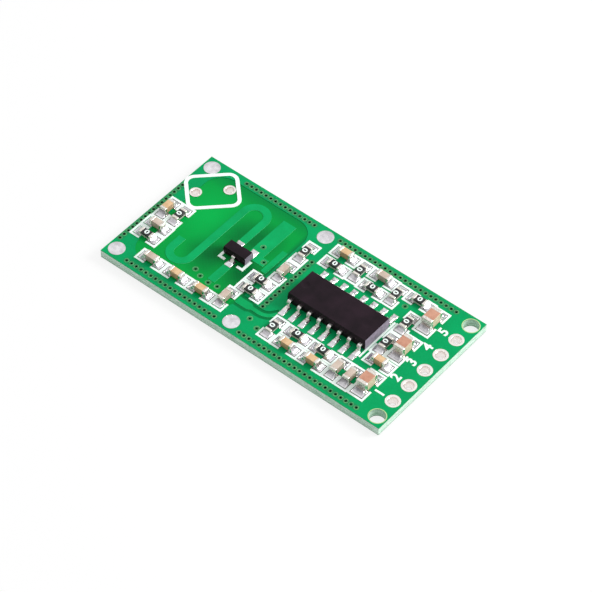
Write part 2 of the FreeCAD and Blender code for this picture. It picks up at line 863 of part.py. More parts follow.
def lead_pads(kind, places):
    """Pads and solder for leads, each given by its turn and its distance across from the middle."""
    pads, joints = [], []
    x, y = f"sizes.{kind}_x", f"sizes.{kind}_y"
    start, end = f"sizes.{kind}_pad_start", f"sizes.{kind}_pad_end"
    wide = f"sizes.{kind}_pad_width"
    run_out = f"{end} - sizes.solder_margin"
    spread = f"{wide} - 2 * sizes.solder_margin"
    tip = f"sizes.{kind}_lead_reach"
    rise = f"sizes.{kind}_solder_height"
    for count, (angle, across) in enumerate(places, 1):
        label = f"{kind}_lead_{count}"
        pads.append(end_pad(label, x, y, angle, start, end, wide, across))
        joints.append(solder(label, x, y, angle, tip, run_out, spread, rise, across))
    return pads, joints


def cell_outline():
    """The printed outline of the light cell: a broad line round a rectangle at 45 degrees."""
    made = body("cell_outline")
    drawing = sketch(made, "cell_line", z=FLOOR)
    for side in ("+", "-"):
        sides = [f"{size} / 2 {side} sizes.cell_line / 2" for size in ("sizes.cell_long", "sizes.cell_wide")]
        draw_rounded_rectangle(drawing, *sides, f"sizes.cell_corner {side} sizes.cell_line / 2")
    pad(made, drawing, "sizes.copper_step + sizes.silk_thick")
    slanted(made, "0")
    return made


def mark(name, x, y, along, across, long, wide):
    """A printed bar by its low corner from the point x, y."""
    made = block(name, long, wide, "sizes.copper_step + sizes.silk_thick")
    return place(made, x, y, 0, along, across, FLOOR)


def ground_level():
    """The layer of ground copper and mask round the window, which the print lies over."""
    made = body("ground_level")
    outline = sketch(made, "ground_outline", z=FLOOR)
    draw_rectangle(outline, half("sizes.board_length"), half("sizes.board_width"))
    pad(made, outline, "sizes.copper_step")
    draw_window(made, "ground_window", TOP, False)
    return made


def printed_marks():
    """Corner marks by the transistor, and the bar across the end of the control chip."""
    line = "sizes.corner_mark_line"
    reach = "sizes.corner_mark_reach"
    drop = "sizes.corner_mark_drop"
    foot = "sizes.corner_mark_foot"
    where = ("sizes.transistor_x", "sizes.transistor_y")
    sides = (("left", f"-{reach}", f"-{reach}"), ("right", f"{reach} - {line}", f"{reach} - {foot}"))
    bars = []
    for side, upright, toe in sides:
        bars.append(mark(side + "_mark_side", *where, upright, f"-{drop}", line, "sizes.corner_mark_height"))
        bars.append(mark(side + "_mark_foot", *where, toe, f"-{drop}", foot, line))
    bar = ("sizes.end_bar_x", "sizes.ic_y", "-sizes.end_bar_line / 2", "-sizes.end_bar_length / 2")
    bars.append(mark("end_bar", *bar, "sizes.end_bar_line", "sizes.end_bar_length"))
    return bars


def drill(name, radius, x, y):
    """A round hole's shape, right through the board."""
    made = doc.addObject("Part::Cylinder", name)
    bind(made, Radius=radius, Height=TOP)
    return place(made, x, y)


def via(name, x, y):
    """A via hole's shape, right through the board."""
    made = doc.addObject("Part::Prism", name)
    made.Polygon = VIA_SIDES
    bind(made, Circumradius="sizes.via_radius", Height=TOP)
    return place(made, x, y)


def option_pads():
    """Empty pairs of pads on the underside, level with its mask."""
    start = "sizes.small_pad_start"
    wide = "sizes.small_pad_width"
    pads = []
    for count in range(int(number("sizes.option_count"))):
        x = f"sizes.option_x + ({count} - (sizes.option_count - 1) / 2) * sizes.option_pitch"
        for turn in (90, 270):
            name = f"option_{count + 1}_{turn}"
            made = block(name, f"sizes.small_pad_end - {start}", wide, "sizes.copper_step")
            pads.append(place(made, x, "sizes.option_y", turn, start, f"-{wide} / 2"))
    return group("option_pads", pads)


# The whole module, piece by piece

parts = [ic_moulding(), ic_lead_set(), moulding("transistor_body", "transistor"), transistor_lead_set()]

pads, joints, frames = [], [], []
KINDS = (
    (RESISTOR_PLACES, "resistor", "small"),
    (CAPACITOR_PLACES, "capacitor", "small"),
    (LARGE_PLACES, "large", "large"),
)
for places, kind, size in KINDS:
    caps = []
    for name, x, y, angle in places:
        core, ends, lands, fillets, frame = small_part(name, x, y, angle, kind, size)
        parts.append(core)
        caps += ends
        pads += lands
        joints += fillets
        frames.append(frame)
    parts.append(group(("large_capacitor" if kind == "large" else kind) + "_end_caps", caps))

half_row = "(sizes.ic_side_count - 1) / 2"
ic_places = [
    (angle, f"({k} - {half_row}) * sizes.ic_pitch")
    for angle in (90, 270)
    for k in range(int(number("sizes.ic_side_count")))
]
transistor_places = [
    (90, "sizes.transistor_pitch / 2"),
    (90, "-sizes.transistor_pitch / 2"),
    (270, "0"),
]
for kind, places in (("ic", ic_places), ("transistor", transistor_places)):
    lands, fillets = lead_pads(kind, places)
    pads += lands
    joints += fillets

component_pads = group("component_pads", pads)
plating = header_plating()
cell_barrels = cell_plating()
discs = tinned_discs()
empty_pads = option_pads()
parts += [component_pads, group("solder_joints", joints), plating, cell_barrels, discs, empty_pads]

header_x = "sizes.board_length / 2 - sizes.mount_hole_inset"
holes = []
for k in range(int(number("sizes.header_count"))):
    y = f"({k} - (sizes.header_count - 1) / 2) * sizes.header_pitch"
    holes.append(drill(f"header_hole_{k + 1}", "sizes.header_hole_radius", header_x, y))
for side in ("+", "-"):
    step = f"{side} sizes.cell_hole_spacing / 2 * cos(45)"
    holes.append(drill("cell_hole", "sizes.cell_hole_radius", f"sizes.cell_x {step}", f"sizes.cell_y {step}"))
vias = [via(name, x, y) for name, x, y in VIA_PLACES]
channel = output_strip("output_channel", "sizes.output_clearance")
standing = [component_pads, plating, cell_barrels, discs, empty_pads, channel, *holes, *vias]
board = cut("circuit_board", bare_board(), standing)

strips = {
    "stub_trace": stub_strip(),
    "emitter_trace": plain_strip(
        "emitter",
        "sizes.transistor_x",
        "sizes.transistor_y - sizes.transistor_pad_end - sizes.emitter_length",
        "sizes.emitter_line",
        "sizes.emitter_length",
    ),
    "bias_trace": plain_strip(
        "bias", "sizes.bias_x", "sizes.bias_low", "sizes.bias_line", "sizes.bias_top - sizes.bias_low"
    ),
    "output_trace": output_strip("output_strip"),
}
traces = [antenna_trace()]
for name, strip in strips.items():
    traces.append(cut(name, strip, [component_pads, *vias]))
parts += [board, *traces]

printed = doc.addObject("Part::MultiFuse", "printed_layer")
printed.Shapes = [*frames, *printed_marks(), cell_outline()]
parts.append(cut("silkscreen_top", printed, [ground_level(), discs, cell_barrels, *traces]))

doc.recompute()

for thing in doc.Objects:
    for trouble in ("Invalid", "Error"):
        if trouble in thing.State:
            raise RuntimeError(f"{thing.Label} is {trouble}")
for part in parts:
    if part.Shape.isNull() or not part.Shape.isValid():
        raise RuntimeError(f"{part.Label} has no valid shape")

os.makedirs("parts", exist_ok=True)
for part in parts:
    part.Shape.exportStep(f"parts/{part.Label}.step")
    print(part.Label, len(part.Shape.Solids), round(part.Shape.Volume, 4))
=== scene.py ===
import math
import random

import bmesh
import bpy
from mathutils import Matrix, Vector


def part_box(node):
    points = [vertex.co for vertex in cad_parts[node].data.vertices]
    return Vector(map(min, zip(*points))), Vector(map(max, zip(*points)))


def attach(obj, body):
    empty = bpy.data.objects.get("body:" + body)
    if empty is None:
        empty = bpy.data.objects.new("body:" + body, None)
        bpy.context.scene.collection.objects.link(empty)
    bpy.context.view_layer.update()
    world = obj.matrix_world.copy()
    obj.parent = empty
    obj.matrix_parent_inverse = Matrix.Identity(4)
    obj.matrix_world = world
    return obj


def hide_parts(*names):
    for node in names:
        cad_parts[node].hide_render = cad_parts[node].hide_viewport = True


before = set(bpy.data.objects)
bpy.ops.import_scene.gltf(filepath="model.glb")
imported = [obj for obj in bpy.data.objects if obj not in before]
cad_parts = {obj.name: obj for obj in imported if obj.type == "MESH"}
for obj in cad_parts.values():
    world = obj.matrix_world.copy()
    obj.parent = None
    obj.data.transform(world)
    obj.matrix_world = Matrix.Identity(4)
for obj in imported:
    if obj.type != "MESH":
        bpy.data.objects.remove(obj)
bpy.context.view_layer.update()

# Levels and places of the CAD model. All lengths are in millimetres.

MM = 0.001
TOP = 1.0
COPPER_STEP = 0.04
SEAT = 1.03
LENGTH = 35.9
WIDTH = 17.3
HEADER_X = LENGTH / 2 - 1.07
HEADER_PITCH = 2.54
HEADER_YS = [(k - 2) * HEADER_PITCH for k in range(5)]
SCREW_YS = (-7.5, 7.5)
CELL = (-14.63, 4.93)
CELL_HALF = 3.54 / 2
DISC_MIDDLE = -9.25
DISC_APART = (7.6, 7.43)
DISCS = [(DISC_MIDDLE + sx * DISC_APART[0], sy * DISC_APART[1]) for sx in (-1, 1) for sy in (-1, 1)]

# The window of the ground copper: its middle, then half its length and half its width
WINDOW = (-9.45, 0.3, 13.1 / 2, 14.45 / 2)

IC = (5.93, 0.07)
IC_SIZE = (9.9, 3.9, 1.35)
IC_STANDOFF = 0.1
IC_LEAD_PITCH = 1.27
TRANSISTOR = (-6.75, -0.32)
TRANSISTOR_SIZE = (2.9, 1.3, 0.95)
TRANSISTOR_STANDOFF = 0.08

VIA_PITCH = 0.645
EDGE_Y = WIDTH / 2 - 0.65
END_X = 0.35 - LENGTH / 2
# First x, first y, step x, step y, count
VIA_ROWS = [
    (-12.6, EDGE_Y, 1, 0, 15),
    (-0.17, EDGE_Y, 1, 0, 24),
    (-15.0, -EDGE_Y, 1, 0, 19),
    (-0.17, -EDGE_Y, 1, 0, 24),
    (END_X, -6.1, 0, 1, 16),
    (-0.55, -3.87, 0, 1, 13),
]
# Vias in a copper strip, which lie at the top's level although they are in the window
STRIP_VIAS = [(-5.6, 2.28), (-4.25, 0.73)]
SINGLE_VIAS = [
    (-8.95, -4.37),
    (-8.0, -4.77),
    (-6.8, -4.95),
    (-5.75, -4.77),
    *STRIP_VIAS,
    (10.3, 5.28),
    (0.85, -6.47),
    (-0.5, -5.92),
]

# Sides of round forms
ROUND_SIDES = 48
DIMPLE_SIDES = 40
VIA_SIDES = 20


def linear(r, g, b):
    """A colour given in the 0 to 255 of a picture, as the shader's linear values."""
    shares = [v / 255 for v in (r, g, b)]
    return (*[v / 12.92 if v <= 0.04 else ((v + 0.055) / 1.055) ** 2.4 for v in shares], 1)


# Shaders


class Nodes:
    """The nodes of a material or a world in the making."""

    def __init__(self, tree):
        self.tree = tree

    def feed(self, socket, value):
        """Links a socket or sets its value. None leaves it as it is."""
        if isinstance(value, bpy.types.NodeSocket):
            self.tree.links.new(value, socket)
        elif value is not None:
            socket.default_value = value

    def add(self, kind, *values, **settings):
        """A new node with its settings, and its inputs fed in order."""
        node = self.tree.nodes.new(kind)
        for name, value in settings.items():
            setattr(node, name, value)
        for socket, value in zip(node.inputs, values):
            self.feed(socket, value)
        return node

    def math(self, operation, a, b=None, c=None, clamp=False):
        return self.add("ShaderNodeMath", a, b, c, operation=operation, use_clamp=clamp).outputs[0]


class Shader(Nodes):
    """A material in the making: each call adds what it needs and returns its output."""

    def __init__(self, name):
        self.material = bpy.data.materials.new(name)
        self.material.use_nodes = True
        super().__init__(self.material.node_tree)
        self.principled = self.tree.nodes["Principled BSDF"]
        self.place = None

    def mix(self, factor, a, b):
        """Colour a where the factor is 0 and b where it is 1."""
        node = self.add("ShaderNodeMix", data_type="RGBA")
        for index, value in ((0, factor), (6, a), (7, b)):
            self.feed(node.inputs[index], value)
        return node.outputs[2]

    def position(self):
        """The place on the object in millimetres."""
        if self.place is None:
            where = self.add("ShaderNodeTexCoord").outputs["Object"]
            scaled = self.add("ShaderNodeVectorMath", where, operation="SCALE")
            scaled.inputs["Scale"].default_value = 1 / MM
            self.place = scaled.outputs[0]
        return self.place

    def stretched(self, factors):
        """The place, stretched along each axis."""
        return self.add("ShaderNodeVectorMath", self.position(), factors, operation="MULTIPLY").outputs[0]

    def xyz(self, vector=None):
        return self.add("ShaderNodeSeparateXYZ", vector or self.position()).outputs

    def facing(self, normal="Normal"):
        """The x, y and z of the way that the surface faces."""
        return self.xyz(self.add("ShaderNodeNewGeometry").outputs[normal])

    def noise(self, scale, detail=2.0, roughness=0.5, vector=None):
        """Noise from 0 to 1 with so many features a millimetre."""
        node = self.add("ShaderNodeTexNoise")
        self.feed(node.inputs["Vector"], vector or self.position())
        node.inputs["Scale"].default_value = scale
        node.inputs["Detail"].default_value = detail
        node.inputs["Roughness"].default_value = roughness
        return node.outputs[0]

    def ramp(self, value, low, high):
        """0 below low, 1 above high, and straight between them."""
        return self.add("ShaderNodeMapRange", value, low, high).outputs[0]

    def share(self, value, most):
        """A value that went up to 1, which now goes up to a lower share."""
        return self.math("MULTIPLY", value, most)

    def within(self, distance, near, far):
        """1 nearer than near, 0 farther than far."""
        return self.math("SUBTRACT", 1.0, self.ramp(distance, near, far))

    def length(self, a, b):
        """The length of a step a one way and b across it."""
        return self.math("SQRT", self.math("ADD", self.math("MULTIPLY", a, a), self.math("MULTIPLY", b, b)))

    def bump(self, height, strength, distance):
        node = self.add("ShaderNodeBump")
        node.inputs["Strength"].default_value = strength
        node.inputs["Distance"].default_value = distance * MM
        self.feed(node.inputs["Height"], height)
        self.feed(self.principled.inputs["Normal"], node.outputs[0])

    def set(self, **values):
        """Feeds the surface's sockets and returns the finished material."""
        for name, value in values.items():
            self.feed(self.principled.inputs[name.replace("_", " ")], value)
        return self.material

    def varied(self, colour, darker, scale):
        """A colour that drifts towards a darker one in patches."""
        return self.mix(self.ramp(self.noise(scale), 0.3, 0.7), linear(*darker), linear(*colour))


def nearest(s, distances):
    result = distances[0]
    for distance in distances[1:]:
        result = s.math("MINIMUM", result, distance)
    return result


def spot_distance(s, x, y, places):
    """The distance to the nearest of a few places."""
    return nearest(s, [s.length(s.math("SUBTRACT", x, px), s.math("SUBTRACT", y, py)) for px, py in places])


def row_distances(s, x, y, row):
    """The distance to the nearest via of a row, and that to its line."""
    first_x, first_y, step_x, _, count = row
    along, across, start, line = (x, y, first_x, first_y) if step_x else (y, x, first_y, first_x)
    reach = (count - 1) * VIA_PITCH / 2
    half = VIA_PITCH / 2
    no_via = 9.0
    from_middle = s.math("SUBTRACT", along, start + reach)
    held = s.math("MINIMUM", s.math("MAXIMUM", from_middle, -reach), reach)
    beyond = s.math("SUBTRACT", from_middle, held)
    wrapped = s.math("WRAP", s.math("ADD", from_middle, reach), half, -half)
    off = s.math("SUBTRACT", across, line)
    inside = s.math("LESS_THAN", s.math("ABSOLUTE", from_middle), reach + half)
    outside = s.math("MULTIPLY", s.math("SUBTRACT", 1.0, inside), no_via)
    return s.math("ADD", s.length(wrapped, off), outside), s.length(beyond, off)


def woven(s, x, y):
    """The weave of the laminate, from 0 to 1."""
    pitch = 0.42
    along, across = (s.math("SINE", s.math("MULTIPLY", v, 2 * math.pi / pitch)) for v in (x, y))
    return s.math("ADD", s.math("MULTIPLY", s.math("MULTIPLY", along, across), 0.5), 0.5)


def ground_pour(s, line):
    """Mask over the ground copper, greyer along the via rows."""
    colour = s.mix(s.ramp(s.noise(0.35, 3), 0.25, 0.75), linear(0, 142, 80), linear(0, 160, 92))
    fine = s.ramp(s.noise(5, 2), 0.2, 0.8)
    colour = s.mix(s.share(fine, 0.2), colour, linear(20, 182, 116))
    return s.mix(s.share(s.within(line, 0.26, 0.42), 0.75), colour, linear(34, 124, 78))


def window_floor(s, x, y, z, weave):
    """Mask over laminate: painted shade among the strips, in the channel at its right and near its top
    edge, painted light to their left, and plain underneath.
    """
    # Painted shade: the mask is darker near these places, among the strips.
    shaded = [(-9.3, 1.8), (-9.1, -1.6), (-5.0, -1.6), (-6.7, 2.6)]
    drift = s.share(s.ramp(s.noise(0.3, 2), 0.3, 0.7), 0.2)
    lit = s.math("ADD", s.ramp(spot_distance(s, x, y, shaded), 0.7, 3.7), drift, clamp=True)
    colour = s.mix(lit, linear(0, 98, 44), linear(0, 152, 62))
    # Painted light, which is brightest at the far left of the window.
    glow = s.ramp(spot_distance(s, x, y, [(-12.8, 2.2)]), 4.6, 0.6)
    colour = s.mix(glow, colour, linear(0, 170, 72))
    # Painted shade in the channel right of x -2.9 and near the window's top edge.
    colour = s.mix(s.ramp(x, -3.5, -2.9), colour, linear(0, 114, 60))
    colour = s.mix(s.share(s.ramp(y, 5.6, 7.4), 0.7), colour, linear(0, 118, 58))
    above = s.math("GREATER_THAN", z, TOP / 2)
    colour = s.mix(above, linear(0, 140, 62), colour)
    return s.mix(s.share(weave, 0.07), colour, linear(0, 170, 88))


def cut_side(s, from_middle):
    """Bare laminate in layers where the board was cut, with a green skin at both faces."""
    layers = s.ramp(s.noise(1.0, 3, vector=s.stretched((1.2, 1.2, 22.0))), 0.3, 0.7)
    colour = s.mix(layers, linear(124, 174, 146), linear(216, 238, 222))
    grain = s.ramp(s.noise(9, 3), 0.35, 0.65)
    colour = s.mix(s.share(grain, 0.4), colour, linear(232, 242, 234))
    return s.mix(s.ramp(from_middle, TOP / 2 - 0.07, TOP / 2 - 0.03), colour, linear(16, 120, 70))


def board_material():
    """Green solder mask over copper and laminate, with the laminate bare on the sides."""
    s = Shader("solder_mask_board")
    x, y, z = s.xyz()
    flat = s.math("GREATER_THAN", s.math("ABSOLUTE", s.facing("True Normal")[2]), 0.5)
    from_middle = s.math("ABSOLUTE", s.math("SUBTRACT", z, TOP / 2))
    weave = woven(s, x, y)
    rows = [row_distances(s, x, y, row) for row in VIA_ROWS]
    line = nearest(s, [line for spot, line in rows])
    spot = s.math("MINIMUM", nearest(s, [spot for spot, line in rows]), spot_distance(s, x, y, SINGLE_VIAS))

    poured = s.math("GREATER_THAN", from_middle, TOP / 2 - COPPER_STEP / 2)
    mask = s.mix(poured, window_floor(s, x, y, z, weave), ground_pour(s, line))
    mask = s.mix(s.share(s.within(spot, 0.25, 0.29), 0.6), mask, linear(60, 148, 90))
    # A painted highlight on the edge round each screw hole.
    screw = spot_distance(s, x, y, [(HEADER_X, sy) for sy in SCREW_YS])
    mask = s.mix(s.share(s.within(screw, 0.93, 0.96), 0.8), mask, linear(206, 222, 170))

    s.bump(s.math("ADD", s.math("MULTIPLY", weave, 0.25), s.noise(2.5, 3)), 0.25, 0.02)
    rough = s.math("ADD", s.math("MULTIPLY", s.math("SUBTRACT", 1.0, flat), 0.4), 0.36)
    colour = s.mix(flat, cut_side(s, from_middle), mask)
    return s.set(Base_Color=colour, Roughness=rough, Specular_IOR_Level=0.06)


def trace_material():
    """Copper strip under solder mask, with a painted highlight on its sides."""
    s = Shader("masked_copper_strip")
    fine = s.ramp(s.noise(6, 2), 0.2, 0.8)
    colour = s.mix(s.share(fine, 0.2), s.varied((0, 168, 94), (0, 150, 80), 0.5), linear(24, 188, 118))
    # Painted highlight: the strip's sides are paler than its top.
    colour = s.mix(s.math("ABSOLUTE", s.facing("True Normal")[2]), linear(96, 208, 150), colour)
    s.bump(s.noise(2.5, 3), 0.2, 0.02)
    return s.set(Base_Color=colour, Roughness=0.34, Specular_IOR_Level=0.08)


def print_material():
    """White ink, a little thin in places."""
    s = Shader("white_print")
    thin = s.ramp(s.noise(3.2, 4, 0.6), 0.58, 0.82)
    colour = s.mix(s.share(thin, 0.35), linear(240, 252, 247), linear(186, 226, 206))
    s.bump(s.noise(14, 3), 0.3, 0.01)
    return s.set(Base_Color=colour, Roughness=0.62)


def metal(name, bright, dull, roughness, grain, depth, stretch=(1, 1, 1)):
    """Tinned or soldered metal with a skin that is smoother in some places than in others."""
    s = Shader(name)
    vector = s.stretched(stretch)
    patches = s.ramp(s.noise(grain, 2, vector=vector), 0.3, 0.7)
    s.bump(s.noise(grain, 1, vector=vector), 0.3, depth)
    rough = s.math("ADD", s.share(patches, 0.14), roughness)
    return s.set(Base_Color=s.mix(patches, linear(*dull), linear(*bright)), Metallic=1.0, Roughness=rough)


def mould_material():
    """Black moulded epoxy with a fine grain, a few specks of filler with painted glints, and painted light
    on its ends, lighter in patches.
    """
    s = Shader("black_moulding")
    grain = s.noise(16, 3, 0.6)
    speck = s.ramp(s.noise(28, 1), 0.7, 0.8)
    colour = s.varied((36, 20, 31), (20, 8, 17), 0.6)
    # Painted glints in the light specks of filler.
    colour = s.mix(s.share(speck, 0.35), colour, linear(86, 74, 82))
    # Painted light on the end faces, lighter in some patches than in others.
    end = s.ramp(s.math("ABSOLUTE", s.facing()[0]), 0.55, 0.95)
    painted_end_light = s.math("ADD", s.share(s.ramp(s.noise(2.2, 3), 0.3, 0.7), 0.25), 0.5)
    colour = s.mix(s.math("MULTIPLY", end, painted_end_light), colour, linear(168, 158, 176))
    s.bump(grain, 0.35, 0.015)
    rough = s.math("ADD", s.share(grain, 0.2), 0.38)
    return s.set(Base_Color=colour, Roughness=rough, Specular_IOR_Level=0.15)


def resistor_material():
    """Black glaze over the top of a white ceramic chip."""
    s = Shader("resistor_glaze")
    glaze = s.varied((26, 26, 27), (38, 37, 38), 4)
    ceramic = s.varied((206, 204, 198), (182, 180, 172), 5)
    wavy = s.math("ADD", s.xyz()[2], s.share(s.noise(5), 0.06))
    coated = s.ramp(wavy, SEAT + 0.27, SEAT + 0.29)
    s.bump(s.noise(6, 2), 0.2, 0.02)
    return s.set(Base_Color=s.mix(coated, ceramic, glaze), Roughness=0.3)


def ceramic_material(name, colour, darker, side):
    """Fired ceramic: a fine speckle, a little darker in patches, and painted light or shade on the sides,
    which are lighter or darker than the top.
    """
    s = Shader(name)
    base = s.varied(colour, darker, 1.1)
    # The sides' colour is painted light where it is lighter than the top and painted shade where it is
    # darker.
    base = s.mix(s.ramp(s.facing()[2], 0.9, 0.5), base, linear(*side))
    speck = s.ramp(s.noise(13, 2), 0.55, 0.75)
    base = s.mix(s.share(speck, 0.3), base, linear(*[v * 0.72 for v in darker]))
    s.bump(s.noise(12, 3), 0.25, 0.015)
    return s.set(Base_Color=base, Roughness=0.46)


def patchy_material(name, colour, darker, scale, roughness, metallic=None, specular=None):
    """A surface with no more to it than a colour in patches."""
    s = Shader(name)
    patches = s.varied(colour, darker, scale)
    return s.set(Base_Color=patches, Roughness=roughness, Metallic=metallic, Specular_IOR_Level=specular)


MATERIALS = {
    "solder_mask": board_material(),
    "masked_copper": trace_material(),
    "print": print_material(),
    "solder": metal("bright_solder", (242, 240, 244), (206, 203, 208), 0.14, 1.6, 0.05),
    "tin": metal("tinned_copper", (255, 250, 246), (242, 233, 228), 0.18, 2.5, 0.02),
    "lead": metal("tinned_lead", (250, 248, 245), (222, 217, 212), 0.2, 3.0, 0.02, (1, 0.3, 0.3)),
    "end_cap": metal("tinned_end_cap", (250, 246, 238), (216, 208, 198), 0.2, 6.0, 0.03),
    "moulding": mould_material(),
    "resistor_coat": resistor_material(),
    # The last colour of each ceramic is for its sides: painted shade on the tan and pale chips, painted
    # light on the brown ones.
    "tan": ceramic_material("tan_ceramic", (228, 195, 152), (208, 166, 120), (190, 156, 120)),
    "pale": ceramic_material("pale_ceramic", (212, 196, 182), (192, 172, 156), (180, 166, 150)),
    "brown": ceramic_material("brown_ceramic", (208, 156, 130), (184, 126, 102), (216, 194, 168)),
    "copper": patchy_material("cut_copper", (178, 112, 76), (120, 76, 58), 6, 0.42, metallic=1.0),
    # The real gaps in the mask round the pads, in a dark colour that is painted shade.
    "laminate": patchy_material("bare_laminate", (22, 62, 42), (10, 36, 24), 3.0, 0.7),
    "via": patchy_material("via_rim", (96, 172, 110), (50, 134, 82), 2.5, 0.32, specular=0.2),
    # The inside of each via in a near-black colour: painted shade.
    "throat": patchy_material("via_throat_painted_shade", (14, 36, 20), (4, 14, 8), 4.0, 0.6),
}


# Mesh building


class Pile:
    """Vertices and faces of many shapes that become one piece."""

    def __init__(self):
        self.points = []
        self.faces = []
        self.kinds = []

    def add(self, shape, place=Matrix(), kind=0):
        """Adds a shape, which is a list of points and a list of faces. Its kind picks its material."""
        points, faces = shape
        start = len(self.points)
        self.points += [place @ Vector(p) for p in points]
        self.faces += [[start + i for i in face] for face in faces]
        self.kinds += [kind] * len(faces)

    def make(self, name, materials, replaced=(), sharp=40, weighted=True):
        """Makes the piece. Edges over the sharp angle, in degrees, stay sharp."""
        mesh = bpy.data.meshes.new(name)
        mesh.from_pydata([p * MM for p in self.points], [], self.faces)
        mesh.polygons.foreach_set("material_index", self.kinds)
        for material in materials:
            mesh.materials.append(MATERIALS[material])
        mesh.polygons.foreach_set("use_smooth", [True] * len(mesh.polygons))
        mesh.set_sharp_from_angle(angle=math.radians(sharp))
        mesh.update()
        piece = bpy.data.objects.new(name, mesh)
        bpy.context.scene.collection.objects.link(piece)
        if weighted:
            weigh_normals(piece)
        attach(piece, "root")
        if replaced:
            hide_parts(*replaced)
        return piece


def weigh_normals(piece):
    piece.modifiers.new("shading", "WEIGHTED_NORMAL").keep_sharp = True


def turned_to(x, y, angle=0, z=0.0):
    """Puts a shape at x, y, z after a turn about Z."""
    return Matrix.Translation((x, y, z)) @ Matrix.Rotation(math.radians(angle), 4, "Z")


def read_out(bm):
    """A bmesh's points and faces, for a pile."""
    bm.verts.index_update()
    shape = ([v.co.copy() for v in bm.verts], [[v.index for v in f.verts] for f in bm.faces])
    bm.free()
    return shape


def rounded_block(low, high, radius, segments=3):
    """A box from corner to corner with round edges."""
    bm = bmesh.new()
    bmesh.ops.create_cube(bm, size=1.0)
    for v in bm.verts:
        v.co = [high[axis] if v.co[axis] > 0 else low[axis] for axis in range(3)]
    bmesh.ops.bevel(bm, geom=bm.edges[:], offset=radius, segments=segments, profile=0.5, affect="EDGES")
    return read_out(bm)


def lathe(profile, sides):
    """A closed ring or disc from (radius, z) points. A radius of 0 at both ends closes on the axis."""
    solid = profile[0][0] == 0
    points, faces = [], []
    rings = profile[1:-1] if solid else profile
    for r, z in rings:
        for k in range(sides):
            a = 2 * math.pi * k / sides
            points.append((r * math.cos(a), r * math.sin(a), z))
    count = len(rings)
    for i in range(count - 1 if solid else count):
        j = (i + 1) % count
        for k in range(sides):
            m = (k + 1) % sides
            faces.append([i * sides + k, i * sides + m, j * sides + m, j * sides + k])
    if solid:
        for ring, z, turn in ((0, profile[0][1], -1), (count - 1, profile[-1][1], 1)):
            points.append((0, 0, z))
            tip = len(points) - 1
            for k in range(sides):
                edge = [ring * sides + k, ring * sides + (k + 1) % sides]
                faces.append([*edge[::turn], tip])
    return points, faces


def grid_blob(u0, u1, half_wide, height_at, base):
    """A low lump over a pad, closed underneath. height_at(u, v) is its height over the base."""
    steps = 14
    round_off = 0.1
    points, faces = [], []
    middle, half_long = (u0 + u1) / 2, (u1 - u0) / 2
    for i in range(steps + 1):
        s = math.sin(math.pi / 2 * (2 * i / steps - 1))
        for j in range(steps + 1):
            t = math.sin(math.pi / 2 * (2 * j / steps - 1))
            u = middle + half_long * s * math.sqrt(1 - round_off * t * t)
            v = half_wide * t * math.sqrt(1 - round_off * s * s)
            edge = min(1.0, (1 - max(abs(s), abs(t))) * 5)
            skin = 0.004 + 0.02 * math.sqrt(edge * (2 - edge))
            points.append((u, v, base + skin + height_at(u, v) * edge))
    across = steps + 1
    for i in range(steps):
        for j in range(steps):
            a = i * across + j
            faces.append([a, a + across, a + across + 1, a + 1])
    rim = list(range(steps))
    rim += [i * across + steps for i in range(steps)]
    rim += [steps * across + j for j in range(steps, 0, -1)]
    rim += [i * across for i in range(steps, 0, -1)]
    start = len(points)
    points += [(*points[index][:2], base - 0.01) for index in rim]
    count = len(rim)
    for k in range(count):
        m = (k + 1) % count
        faces.append([rim[k], rim[m], start + m, start + k])
    faces.append(list(range(start, start + count)))
    return points, faces


def meniscus(foot, reach_end, reach_side, rise_end, rise_side, wobble):
    """The height of solder round a footprint: highest against it, and hollow on its way down."""
    f0, f1, half = foot

    def height(u, v):
        du = max(f0 - u, 0.0, u - f1)
        dv = max(abs(v) - half, 0.0)
        if du == 0 and dv == 0:
            return rise_side * 0.8
        end, side = du / reach_end, dv / reach_side
        away = math.hypot(end, side)
        lean = end / away
        rise = rise_end * lean + rise_side * (1 - lean)
        return rise * max(0.0, 1 - away) ** 1.9 * (1 + wobble * math.sin(9 * v + 5 * u))

    return height


def solder_on(pad, foot, reach_end, reach_side, rise_end, rise_side, wobble):
    """Solder on a pad, from its start to its end, drawn up round the foot that stands on it."""
    start, end, half = pad
    inset = 0.01
    height = meniscus(foot, reach_end, reach_side, rise_end, rise_side, wobble)
    return grid_blob(start + inset, end - inset, half - inset, height, SEAT)


def strip_along(path, wide, thick):
    """A flat strip of metal, wide along X, that follows a path of (y, z) points."""
    half, t, edge = wide / 2, thick / 2, 0.03
    section = [(-half + edge, -t), (half - edge, -t), (half, -t + edge), (half, t - edge)]
    section += [(half - edge, t), (-half + edge, t), (-half, t - edge), (-half, -t + edge)]
    points, faces = [], []
    for i, (y, z) in enumerate(path):
        before, after = path[max(i - 1, 0)], path[min(i + 1, len(path) - 1)]
        ty, tz = after[0] - before[0], after[1] - before[1]
        size = math.hypot(ty, tz)
        ny, nz = -tz / size, ty / size
        for across, up in section:
            points.append((across, y + ny * up, z + nz * up))
    count = len(section)
    for i in range(len(path) - 1):
        for k in range(count):
            m = (k + 1) % count
            a, b = i * count, (i + 1) * count
            faces.append([a + k, a + m, b + m, b + k])
    last = (len(path) - 1) * count
    faces.append(list(range(count))[::-1])
    faces.append(list(range(last, last + count)))
    return points, faces


def wing_path(root, shoulder, level, bend, reach, thick):
    """The middle line of a gull-wing lead, from inside the moulding to its tip."""
    ankle = shoulder + bend + bend
    foot = thick / 2
    turns = [math.pi / 2 * k / 6 for k in range(7)]
    path = [(root, level), (shoulder - bend * 0.2, level)]
    path += [(shoulder + bend * math.sin(a), level - bend * (1 - math.cos(a))) for a in turns]
    path += [(ankle - bend * math.cos(a), foot + bend * (1 - math.sin(a))) for a in turns]
    return path + [(ankle + bend * 0.3, foot), (reach, foot)]


